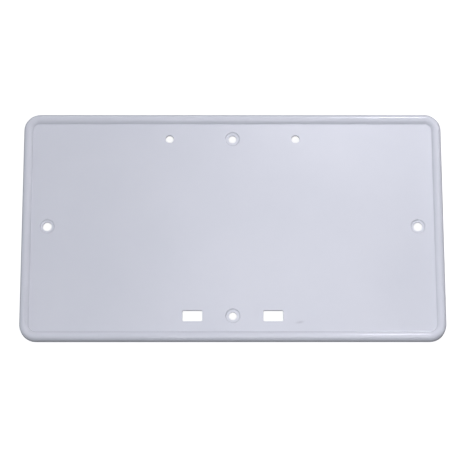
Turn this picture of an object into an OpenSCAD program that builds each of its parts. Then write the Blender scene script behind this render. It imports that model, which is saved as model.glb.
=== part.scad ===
// Number plate holder: one moulded tray with a half-round bead all round.
// It lies on its back: +X is its width, +Y its top edge, +Z the face that takes the plate.
// The origin is the middle of the back, on the plane that its outer wall stands on.
// All sizes are in millimetres.

/* [Number plate] */
// Width of the number plate that the tray takes
plate_w = 300; // [240:1:360]
// Height of the number plate
plate_h = 160; // [120:1:220]
// Free space between the plate's edge and the bead
plate_clearance = 1.3; // [0.5:0.1:3]

/* [Bead] */
// Width of the half-round bead around the tray
bead_w = 6.7; // [5.5:0.1:9]
// Thickness of the bead's hollow wall and of the outer wall
bead_wall = 2; // [1.5:0.1:2.4]
// Radius of the hollow where the bead meets the panel
bead_foot_r = 0.8; // [0.3:0.1:1.5]
// Radius of the tray's inner corners, at the foot of the bead
seat_corner_r = 5.7; // [3:0.1:12]

/* [Panel] */
// Thickness of the panel
panel_t = 2.5; // [2:0.1:4]
// Height of the panel's back above the surface that the holder is fixed to
back_gap = 2.5; // [1:0.1:6]

/* [Sunk screw holes] */
// Bore of the two screw holes at the middle of the long sides
centre_hole_d = 5.8; // [4:0.1:7]
// Bore of the two screw holes at the middle of the short sides
side_hole_d = 6.6; // [4:0.1:7.4]
// Diameter of the round recess for the screw head, at the panel's face
sink_mouth_d = 11.2; // [10:0.1:14]
// Diameter of the recess at its flat floor
sink_floor_d = 9.6; // [8.5:0.1:10]
// Depth of the recess
sink_depth = 1; // [0.5:0.1:1.5]
// From the bead's foot to the hole centres in the upper and lower rows
row_inset = 12.3; // [9:0.1:20]
// From the bead's foot to the hole centres at the two short sides
side_inset = 12.3; // [9:0.1:20]

/* [Plain holes] */
// Bore of the two plain holes in the upper row
plain_hole_d = 6; // [4:0.1:8]
// Distance between the two plain holes
plain_hole_pitch = 95.4; // [60:0.1:140]

/* [Strap slots] */
// Length of each slot in the lower row
slot_w = 14.6; // [10:0.1:20]
// Width of each slot across its length
slot_h = 8.2; // [5:0.1:9]
// Radius of the slot's corners
slot_corner_r = 0.8; // [0.4:0.1:2]
// Distance between the middles of the two slots
slot_pitch = 60; // [48:0.1:100]

/* [Hidden] */

// Number of sides that a full circle is drawn with
$fn = 96;
// How far a cutting shape runs past the face that it cuts
past = 1;

seat_w = plate_w + 2 * plate_clearance;
seat_h = plate_h + 2 * plate_clearance;
outer_w = seat_w + 2 * bead_w;
outer_h = seat_h + 2 * bead_w;
outer_corner_r = seat_corner_r + bead_w;

bead_r = bead_w / 2;
hollow_r = bead_r - bead_wall;
// Reach of the foot's arc from the middle of the bead, and the height where the two arcs meet
foot_x = sqrt(pow(bead_r + bead_foot_r, 2) - pow(bead_foot_r, 2));
foot_z = bead_r * bead_foot_r / (bead_r + bead_foot_r);
seat_z = back_gap + panel_t;

row_y = seat_h / 2 - row_inset;
side_x = seat_w / 2 - side_inset;

// The small round hollow between the bead and the panel, with the bead's middle at the origin
module bead_foot() {
    difference() {
        translate([-foot_x, 0]) square([foot_x, foot_z]);
        translate([-foot_x, bead_foot_r]) circle(bead_foot_r);
    }
}

// Section through the rim, drawn outwards from the middle of a corner's arc:
// a half-round bead on an outer wall, with a hollow of even wall behind it
module rim_section() {
    bead_x = outer_corner_r - bead_r;
    difference() {
        union() {
            translate([bead_x, seat_z]) circle(bead_r);
            translate([seat_corner_r, 0]) square([bead_w, seat_z]);
            translate([bead_x, seat_z]) bead_foot();
        }
        translate([bead_x, seat_z]) circle(hollow_r);
        translate([bead_x - hollow_r, -past]) square([2 * hollow_r, seat_z + past]);
        translate([seat_corner_r - past, -past]) square([past + bead_wall, past + back_gap]);
    }
}

// A straight run of the rim, along +Y, its outer face at x = outer_corner_r
module rim_run(length) {
    translate([0, length / 2, 0]) rotate([90, 0, 0])
        linear_extrude(length) rim_section();
}

// The rim all round: two long runs, two short runs and four round corners
module rim() {
    run_w = outer_w - 2 * outer_corner_r;
    run_h = outer_h - 2 * outer_corner_r;
    for (turn = [0, 180]) rotate([0, 0, turn]) {
        translate([run_w / 2, 0, 0]) rim_run(run_h);
        translate([0, run_h / 2, 0]) rotate([0, 0, 90]) rim_run(run_w);
        translate([run_w / 2, run_h / 2, 0])
            rotate_extrude(angle = 90) rim_section();
        translate([-run_w / 2, run_h / 2, 0]) rotate([0, 0, 90])
            rotate_extrude(angle = 90) rim_section();
    }
}

// A rectangle with round corners, centred, from two bars and four discs
module round_rectangle(w, h, r) {
    square([w - 2 * r, h], center = true);
    square([w, h - 2 * r], center = true);
    for (x = [-1, 1], y = [-1, 1])
        translate([x * (w / 2 - r), y * (h / 2 - r)]) circle(r);
}

// The flat panel, which reaches half way into the foot of the bead
module panel() {
    reach = bead_wall / 2;
    translate([0, 0, back_gap]) linear_extrude(panel_t)
        round_rectangle(seat_w + 2 * reach, seat_h + 2 * reach, seat_corner_r + reach);
}

// A bore through the panel
module bore(d) {
    translate([0, 0, back_gap - past]) cylinder(d = d, h = panel_t + 2 * past);
}

// A bore with a round, flat-floored recess for the screw's head
module sunk_hole(d) {
    slope = (sink_mouth_d - sink_floor_d) / sink_depth;
    bore(d);
    translate([0, 0, seat_z - sink_depth])
        cylinder(d1 = sink_floor_d, d2 = sink_mouth_d + slope * past, h = sink_depth + past);
}

// A slot through the panel for a strap or a clip
module strap_slot() {
    translate([0, 0, back_gap - past]) linear_extrude(panel_t + 2 * past)
        round_rectangle(slot_w, slot_h, slot_corner_r);
}

module plate_holder() {
    color([0.93, 0.93, 0.96]) difference() {
        union() {
            panel();
            rim();
        }
        for (side = [-1, 1]) {
            translate([0, side * row_y, 0]) sunk_hole(centre_hole_d);
            translate([side * side_x, 0, 0]) sunk_hole(side_hole_d);
            translate([side * plain_hole_pitch / 2, row_y, 0]) bore(plain_hole_d);
            translate([side * slot_pitch / 2, -row_y, 0]) strap_slot();
        }
    }
}

plate_holder();
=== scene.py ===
"""Number plate holder: one white moulded tray on a white ground, seen as in the photograph.

All places are in metres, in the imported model's frame: +X across the holder, +Y towards the edge
with three holes, +Z out of the face that takes the plate, and z = 0 on the surface it lies on.
"""
import bpy
import bmesh
import math
import numpy as np
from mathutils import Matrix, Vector
from mathutils.geometry import delaunay_2d_cdt


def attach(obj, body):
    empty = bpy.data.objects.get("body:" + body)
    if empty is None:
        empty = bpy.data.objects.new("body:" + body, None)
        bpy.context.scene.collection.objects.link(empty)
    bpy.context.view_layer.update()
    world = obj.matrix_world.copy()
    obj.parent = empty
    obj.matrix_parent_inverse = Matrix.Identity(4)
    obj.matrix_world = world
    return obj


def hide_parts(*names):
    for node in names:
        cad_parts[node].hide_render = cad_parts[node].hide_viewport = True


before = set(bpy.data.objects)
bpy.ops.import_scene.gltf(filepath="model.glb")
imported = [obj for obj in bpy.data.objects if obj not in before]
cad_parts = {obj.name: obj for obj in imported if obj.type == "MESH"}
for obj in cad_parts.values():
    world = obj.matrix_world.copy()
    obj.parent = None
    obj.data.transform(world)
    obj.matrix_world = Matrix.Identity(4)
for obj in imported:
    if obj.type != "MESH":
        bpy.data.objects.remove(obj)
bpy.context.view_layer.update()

# ---- Camera ---------------------------------------------------------------------------------
# Solved from the four edges and the eight openings of the holder in the photograph: about 1.6 m
# away, tipped 16 degrees back from straight above, nearly over the holder's middle.
eye = bpy.data.cameras.new("eye")
eye.sensor_width = 36.0
eye.lens = 169.36
eye.clip_start, eye.clip_end = 0.05, 60.0
camera = bpy.data.objects.new("eye", eye)
camera.location = (-0.0102, -0.4510, 1.5448)
camera.rotation_mode = "ZXY"
camera.rotation_euler = (math.radians(16.292), math.radians(-0.234), math.radians(-0.062))
bpy.context.scene.collection.objects.link(camera)
bpy.context.scene.camera = camera
bpy.context.scene.view_settings.view_transform = "Standard"

# ---- Holder ---------------------------------------------------------------------------------
# One injection moulding of glossy white plastic: a flat panel, a hollow half-round bead all round
# it and an outer wall. The mould left every edge slightly round, and the panel a little wavy.
SEAT_X, SEAT_Y = 0.1513, 0.0813          # half the seat inside the bead
SEAT_R, BEAD_R, HOLLOW_R, FOOT_R = 0.0057, 0.00335, 0.00135, 0.0008
FACE, BACK = 0.004995, 0.0025            # heights of the panel's front and back
SOFT = 0.00022                           # radius of the moulding's small edges
ROW_Y, SIDE_X = 0.0690, 0.1390           # where the rows of holes are
CENTRE_R, SIDE_R, PLAIN_R = 0.0029, 0.0033, 0.0030      # radii of the three kinds of bore
PLAIN_X, SLOT_X = 0.0477, 0.0300         # the plain holes and the slots, from the middle
SLOT_HALF_X, SLOT_HALF_Y, SLOT_R = 0.0065, 0.0033, 0.0008   # to the slot's corner centres
SINK, SINK_SOFT = 0.0010, 0.0003         # depth of a recess, and radius of its soft edges
RING_R = 0.0070                          # where a recess's mesh meets the panel's net
NET_STEP, NET_GAP = 0.004, 0.0016        # step of the panel's net, and its least gap to a loop
NET_X, NET_Y = 0.144, 0.074              # half the net
WAVE, WAVE_RISE = 0.00003, 0.012         # height of the panel's waves, which rise over 12 mm


def arc(cx, cy, r, a0, a1, n):
    """n points of a circle round (cx, cy), evenly from angle a0 to angle a1 in degrees."""
    a = np.radians(np.linspace(a0, a1, n))
    return np.stack([cx + r * np.cos(a), cy + r * np.sin(a)], 1)


def run(p, q, n):
    """n points evenly along the line from p to q, with both ends."""
    return np.linspace(p, q, n)


def path(cx, cy, hx, hy, corner, step):
    """A closed path round the rectangle of half sizes hx, hy: for each station, a point on that
    rectangle and the outward direction there, which turns by 90 degrees at each corner."""
    points, ways = [], []
    corners = ((1, 1), (-1, 1), (-1, -1), (1, -1))
    for k, (sx, sy) in enumerate(corners):
        a = np.radians(np.linspace(90 * k, 90 * k + 90, corner + 1))
        points.append(np.tile([cx + sx * hx, cy + sy * hy], (len(a), 1)))
        ways.append(np.stack([np.cos(a), np.sin(a)], 1))
        ex, ey = corners[(k + 1) % 4]
        gap = math.hypot((ex - sx) * hx, (ey - sy) * hy)
        m = int(round(gap / step))
        if m > 1:
            t = (np.arange(1, m) / m)[:, None]
            start = np.array([cx + sx * hx, cy + sy * hy])
            stop = np.array([cx + ex * hx, cy + ey * hy])
            points.append(start + (stop - start) * t)
            ways.append(np.tile([math.cos(a[-1]), math.sin(a[-1])], (m - 1, 1)))
        elif gap < 1e-9:
            points[-1], ways[-1] = points[-1][:-1], ways[-1][:-1]
    return np.concatenate(points), np.concatenate(ways)


def sweep(stations, profile):
    """A grid of two parameters, station along a closed path and point along a profile. A profile
    point (u, z) lies u outwards from its station, at height z. Gives the places, the quads, and
    the loops at the profile's first and last points."""
    points, ways = stations
    xy = points[:, None, :] + ways[:, None, :] * profile[None, :, :1]
    z = np.broadcast_to(profile[None, :, 1:], xy.shape[:2] + (1,))
    places = np.concatenate([xy, z], 2).reshape(-1, 3)
    n, m = xy.shape[:2]
    i, j = np.meshgrid(np.arange(n), np.arange(m - 1), indexing="ij")
    a, b = i * m + j, ((i + 1) % n) * m + j
    return places, np.stack([a, b, b + 1, a + 1], -1).reshape(-1, 4), xy[:, 0], xy[:, -1]


reach = math.sqrt((BEAD_R + FOOT_R) ** 2 - FOOT_R ** 2)
mid = SEAT_R + BEAD_R                    # the bead's middle, outwards from a corner's centre
lean = math.degrees(math.atan2(FOOT_R, reach))
inner = SEAT_R - 0.0013                  # where the rim's surface meets the panel's
wall_out, wall_in, lip = SEAT_R + 2 * BEAD_R, mid + HOLLOW_R, mid - HOLLOW_R
rim_profile = np.concatenate([
    run((inner, FACE), (mid - reach - 0.0001, FACE), 3),
    arc(mid - reach, FACE + FOOT_R, FOOT_R, -90, -lean, 9),
    arc(mid, FACE, BEAD_R, 180 - lean, 0, 33)[1:],
    run((wall_out, FACE - 0.0006), (wall_out, SOFT), 5),
    arc(wall_out - SOFT, SOFT, SOFT, 0, -90, 4)[1:],
    arc(wall_in + SOFT, SOFT, SOFT, -90, -180, 4),
    run((wall_in, 0.0012), (wall_in, FACE), 4),
    arc(mid, FACE, HOLLOW_R, 0, 180, 13)[1:],
    run((lip, FACE - 0.0008), (lip, BACK + SOFT), 3),
    arc(lip - SOFT, BACK + SOFT, SOFT, 0, -90, 4)[1:],
    run((lip - 0.0007, BACK), (inner, BACK), 3),
])


def bore_profile(r):
    """Half section of a hole of radius r through the panel, from the front to the back."""
    return np.concatenate([
        run((r + 0.0012, FACE), (r + 0.0005, FACE), 2),
        arc(r + SOFT, FACE - SOFT, SOFT, 90, 180, 4),
        run((r, FACE - 0.0007), (r, BACK + 0.0007), 4),
        arc(r + SOFT, BACK + SOFT, SOFT, 180, 270, 4),
        run((r + 0.0005, BACK), (r + 0.0012, BACK), 2),
    ])


def sunk_profile(r):
    """The same with a flat-floored recess, 11.2 mm wide at the face and 9.6 mm at its floor."""
    low = FACE - SINK
    return np.concatenate([
        run((RING_R, FACE), (0.0061, FACE), 2),
        arc(0.00568, FACE - SINK_SOFT, SINK_SOFT, 90, 142, 4),
        run((0.00530, low + 0.00050), (0.00500, low + 0.00022), 2),
        arc(0.00480, low + SINK_SOFT, SINK_SOFT, -40, -90, 4),
        run((0.0046, low), (r + 0.0004, low), 3),
        arc(r + SOFT, low - SOFT, SOFT, 90, 180, 4),
        run((r, low - 0.0005), (r, BACK + 0.0005), 3),
        arc(r + SOFT, BACK + SOFT, SOFT, 180, 270, 4),
        run((r + 0.0005, BACK), (RING_R, BACK), 3),
    ])


def nearest(points, others):
    """Each point's distance to the closest of the others."""
    return np.sqrt(((points[:, None] - others[None]) ** 2).sum(2)).min(1)


def within(points, loop):
    """True for each point on the left of every side of a convex loop that runs anticlockwise."""
    side = np.roll(loop, -1, 0) - loop
    d = points[:, None] - loop[None]
    return (side[None, :, 0] * d[..., 1] - side[None, :, 1] * d[..., 0] > 0).all(1)


def panel_face(loops, height, up):
    """A flat face inside the first loop and outside the others: a Delaunay net of the loops'
    points and a 4 mm grid. Away from the loops it rises and sinks by up to 0.03 mm in long waves,
    three sines of x and y."""
    gx, gy = np.meshgrid(np.arange(-NET_X, NET_X + 0.0001, NET_STEP),
                         np.arange(-NET_Y, NET_Y + 0.0001, NET_STEP))
    grid = np.stack([gx.ravel(), gy.ravel()], 1)
    grid = grid[nearest(grid, np.concatenate(loops[1:])) > NET_GAP]
    for loop in loops[1:]:
        grid = grid[~within(grid, loop)]
    edges, at = [], 0
    for loop in loops:
        k = np.arange(len(loop))
        edges.append(np.stack([at + k, at + (k + 1) % len(loop)], 1))
        at += len(loop)
    xy = np.concatenate(loops + [grid])
    made = delaunay_2d_cdt(xy.tolist(), np.concatenate(edges).tolist(), [], 0, 1e-8)
    net, faces = np.array(made[0]), np.array(made[2])
    centre = net[faces].mean(1)
    for loop in loops[1:]:
        out = ~within(centre, loop)
        faces, centre = faces[out], centre[out]
    p = net[faces]
    u, v = p[:, 1] - p[:, 0], p[:, 2] - p[:, 0]
    turn = u[:, 0] * v[:, 1] - u[:, 1] * v[:, 0]
    faces = np.where(((turn > 0) == up)[:, None], faces, faces[:, ::-1])
    fade = np.clip(nearest(net, np.concatenate(loops)) / WAVE_RISE, 0, 1)
    fade = fade * fade * (3 - 2 * fade)
    x, y = net[:, 0], net[:, 1]
    wave = (0.5 * np.sin(41 * x + 23 * y + 0.6)
            + 0.3 * np.sin(67 * y - 29 * x + 1.9)
            + 0.2 * np.sin(97 * x + 61 * y))
    return np.column_stack([net, height + WAVE * wave * fade]), faces


parts = [sweep(path(0, 0, SEAT_X - SEAT_R, SEAT_Y - SEAT_R, 20, 0.004), rim_profile)]
for side in (-1, 1):
    parts.append(sweep(path(0, side * ROW_Y, 0, 0, 12, 1), sunk_profile(CENTRE_R)))
    parts.append(sweep(path(side * SIDE_X, 0, 0, 0, 12, 1), sunk_profile(SIDE_R)))
    parts.append(sweep(path(side * PLAIN_X, ROW_Y, 0, 0, 12, 1), bore_profile(PLAIN_R)))
    slot_path = path(side * SLOT_X, -ROW_Y, SLOT_HALF_X, SLOT_HALF_Y, 6, 0.0022)
    parts.append(sweep(slot_path, bore_profile(SLOT_R)))
front = panel_face([p[2] for p in parts], FACE, True)
back = panel_face([p[3] for p in parts], BACK, False)
places, faces, at = [], [], 0
for piece in parts + [front, back]:
    places.append(piece[0])
    faces += (piece[1] + at).tolist()
    at += len(piece[0])
mesh = bpy.data.meshes.new("holder_moulding")
mesh.from_pydata(np.concatenate(places).tolist(), [], faces)
mesh.validate()
bm = bmesh.new()
bm.from_mesh(mesh)
bmesh.ops.remove_doubles(bm, verts=bm.verts, dist=0.000002)
bmesh.ops.recalc_face_normals(bm, faces=bm.faces)
bm.to_mesh(mesh)
bm.free()
mesh.shade_smooth()
holder = bpy.data.objects.new("holder", mesh)
bpy.context.scene.collection.objects.link(holder)

plastic = bpy.data.materials.new("white_plastic")
plastic.use_nodes = True
nodes, links = plastic.node_tree.nodes, plastic.node_tree.links
shader = nodes["Principled BSDF"]
where = nodes.new("ShaderNodeTexCoord")


def noise(scale, detail, rough):
    """A noise value on the moulding's own coordinates, scale in cells to the metre."""
    n = nodes.new("ShaderNodeTexNoise")
    n.inputs["Scale"].default_value = scale
    n.inputs["Detail"].default_value = detail
    n.inputs["Roughness"].default_value = rough
    links.new(where.outputs["Object"], n.inputs["Vector"])
    return n.outputs["Fac"]


# A faint change of tint, in clouds about 70 mm across.
tint = nodes.new("ShaderNodeValToRGB")
tint.color_ramp.elements[0].position = 0.32
tint.color_ramp.elements[0].color = (0.858, 0.866, 0.905, 1)
tint.color_ramp.elements[1].position = 0.68
tint.color_ramp.elements[1].color = (0.886, 0.890, 0.926, 1)
links.new(noise(14, 4, 0.55), tint.inputs["Fac"])
# A faint grey rub on the panel, 10 mm long and 3 mm wide, right of the right-hand slot.
spot = nodes.new("ShaderNodeMapping")
spot.vector_type = "TEXTURE"
spot.inputs["Location"].default_value = (0.0495, -0.0740, FACE)
spot.inputs["Rotation"].default_value = (0, 0, math.radians(8))
spot.inputs["Scale"].default_value = (0.0052, 0.0017, 0.0010)
links.new(where.outputs["Object"], spot.inputs["Vector"])
rub = nodes.new("ShaderNodeTexGradient")
rub.gradient_type = "QUADRATIC_SPHERE"
links.new(spot.outputs["Vector"], rub.inputs["Vector"])
broken = nodes.new("ShaderNodeMath")
broken.operation = "MULTIPLY"
links.new(rub.outputs["Fac"], broken.inputs[0])
links.new(noise(700, 3, 0.6), broken.inputs[1])
rubbed = nodes.new("ShaderNodeMix")
rubbed.data_type = "RGBA"
rubbed.inputs[7].default_value = (0.42, 0.42, 0.45, 1)
links.new(broken.outputs["Value"], rubbed.inputs["Factor"])
links.new(tint.outputs["Color"], rubbed.inputs[6])
links.new(rubbed.outputs[2], shader.inputs["Base Color"])
# A gloss that changes a little from place to place.
gloss = nodes.new("ShaderNodeMapRange")
gloss.inputs["To Min"].default_value = 0.10
gloss.inputs["To Max"].default_value = 0.14
links.new(noise(30, 3, 0.6), gloss.inputs["Value"])
links.new(gloss.outputs["Result"], shader.inputs["Roughness"])
shader.inputs["IOR"].default_value = 1.49
# The moulded surface's fine grain, under 1 mm.
bump = nodes.new("ShaderNodeBump")
bump.inputs["Strength"].default_value = 0.004
bump.inputs["Distance"].default_value = 0.0002
links.new(noise(1500, 2, 0.5), bump.inputs["Height"])
links.new(bump.outputs["Normal"], shader.inputs["Normal"])
mesh.materials.append(plastic)

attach(holder, "root")
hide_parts("plate_holder")

# ---- Floor ----------------------------------------------------------------------------------
# A plain white ground: a sheet of paper with a soft glow of its own, and a backdrop of the same
# paper far behind, which only the camera sees. A dark table top just under it stops the light
# from below.
SQUARE = [(-8, -8), (8, -8), (8, 8), (-8, 8)]
PAPER_Z, TABLE_Z, WALL_TOP = -0.0001, -0.0003, 6.0


def matt(name, grey, glow):
    """A dull grey finish, with a white glow of the given strength."""
    finish = bpy.data.materials.new(name)
    finish.use_nodes = True
    skin = finish.node_tree.nodes["Principled BSDF"]
    skin.inputs["Base Color"].default_value = (grey, grey, grey, 1)
    skin.inputs["Roughness"].default_value = 0.9
    skin.inputs["Specular IOR Level"].default_value = 0.0
    skin.inputs["Emission Color"].default_value = (1, 1, 1, 1)
    skin.inputs["Emission Strength"].default_value = glow
    return finish


def ground(name, heights, faces, finish, seen):
    """A stage piece from the corners of the 16 m square at each of the given heights."""
    sheet = bpy.data.meshes.new(name)
    sheet.from_pydata([(x, y, z) for z in heights for x, y in SQUARE], [], faces)
    sheet.materials.append(finish)
    o = bpy.data.objects.new(name, sheet)
    bpy.context.scene.collection.objects.link(o)
    o.visible_camera = seen
    o.visible_diffuse = o.visible_glossy = o.visible_shadow = not seen


paper = matt("pale_paper", 0.35, 0.92)
walls = [(0, 1, 5, 4), (1, 2, 6, 5), (2, 3, 7, 6), (3, 0, 4, 7)]
ground("floor", [PAPER_Z], [(0, 1, 2, 3)], paper, True)
ground("backdrop", [PAPER_Z, WALL_TOP], walls, paper, True)
ground("table_top", [TABLE_Z], [(0, 1, 2, 3)], matt("dark_table", 0.25, 0.0), False)

# ---- Light ----------------------------------------------------------------------------------
# Plain studio light: a soft surround, brighter at the left and front, a strong strip box high at
# the back right, which draws the highlights along the beads, three weaker boxes at the right, back
# and front, and three wide ones overhead, which the panel mirrors as a soft change of tone.
world = bpy.data.worlds.new("studio")
world.use_nodes = True
bpy.context.scene.world = world
wn, wl = world.node_tree.nodes, world.node_tree.links
heading = wn.new("ShaderNodeTexCoord")
facing = wn.new("ShaderNodeVectorMath")
facing.operation = "DOT_PRODUCT"
facing.inputs[1].default_value = (-0.965, -0.262, 0.0)
wl.new(heading.outputs["Generated"], facing.inputs[0])
level = wn.new("ShaderNodeMapRange")
level.inputs["From Min"].default_value = -1.0
level.inputs["From Max"].default_value = 1.0
level.inputs["To Min"].default_value = 0.063
level.inputs["To Max"].default_value = 0.617
wl.new(facing.outputs["Value"], level.inputs["Value"])
wl.new(level.outputs["Result"], wn["Background"].inputs["Strength"])
wn["Background"].inputs["Color"].default_value = (0.875, 0.915, 1.0, 1)


def lamp(name, place, target, size, watts):
    """A rectangular area light at place that faces target, size wide and high."""
    data = bpy.data.lights.new(name, "AREA")
    data.shape = "RECTANGLE"
    data.size, data.size_y = size
    data.energy = watts
    data.color = (0.925, 0.92, 1.0)
    o = bpy.data.objects.new(name, data)
    o.location = place
    o.rotation_mode = "QUATERNION"
    o.rotation_quaternion = (Vector(target) - Vector(place)).to_track_quat("-Z", "Y")
    o.visible_camera = False
    bpy.context.scene.collection.objects.link(o)


lamp("strip_box", (0.29, 1.085, 1.495), (0.29, 0.085, 0.0), (0.18, 0.52), 5.2)
lamp("side_box", (0.62, 0.42, 0.50), (0.10, 0.0, 0.0), (0.30, 0.30), 0.98)
lamp("back_box", (0.25, 0.40, 0.40), (0.15, 0.20, 0.0), (0.30, 0.25), 0.23)
lamp("front_box", (0.08, -0.30, 0.45), (0.08, -0.03, 0.0), (0.30, 0.20), 0.56)
lamp("ceiling_left", (0.075, 0.575, 1.60), (0.05, 0.0, 0.0), (0.35, 0.55), 0.63)
lamp("ceiling_middle", (0.085, 0.45, 1.60), (0.05, 0.0, 0.0), (0.23, 0.80), 0.28)
lamp("ceiling_right", (0.38, 0.72, 1.60), (0.10, 0.05, 0.0), (0.55, 0.45), 1.32)
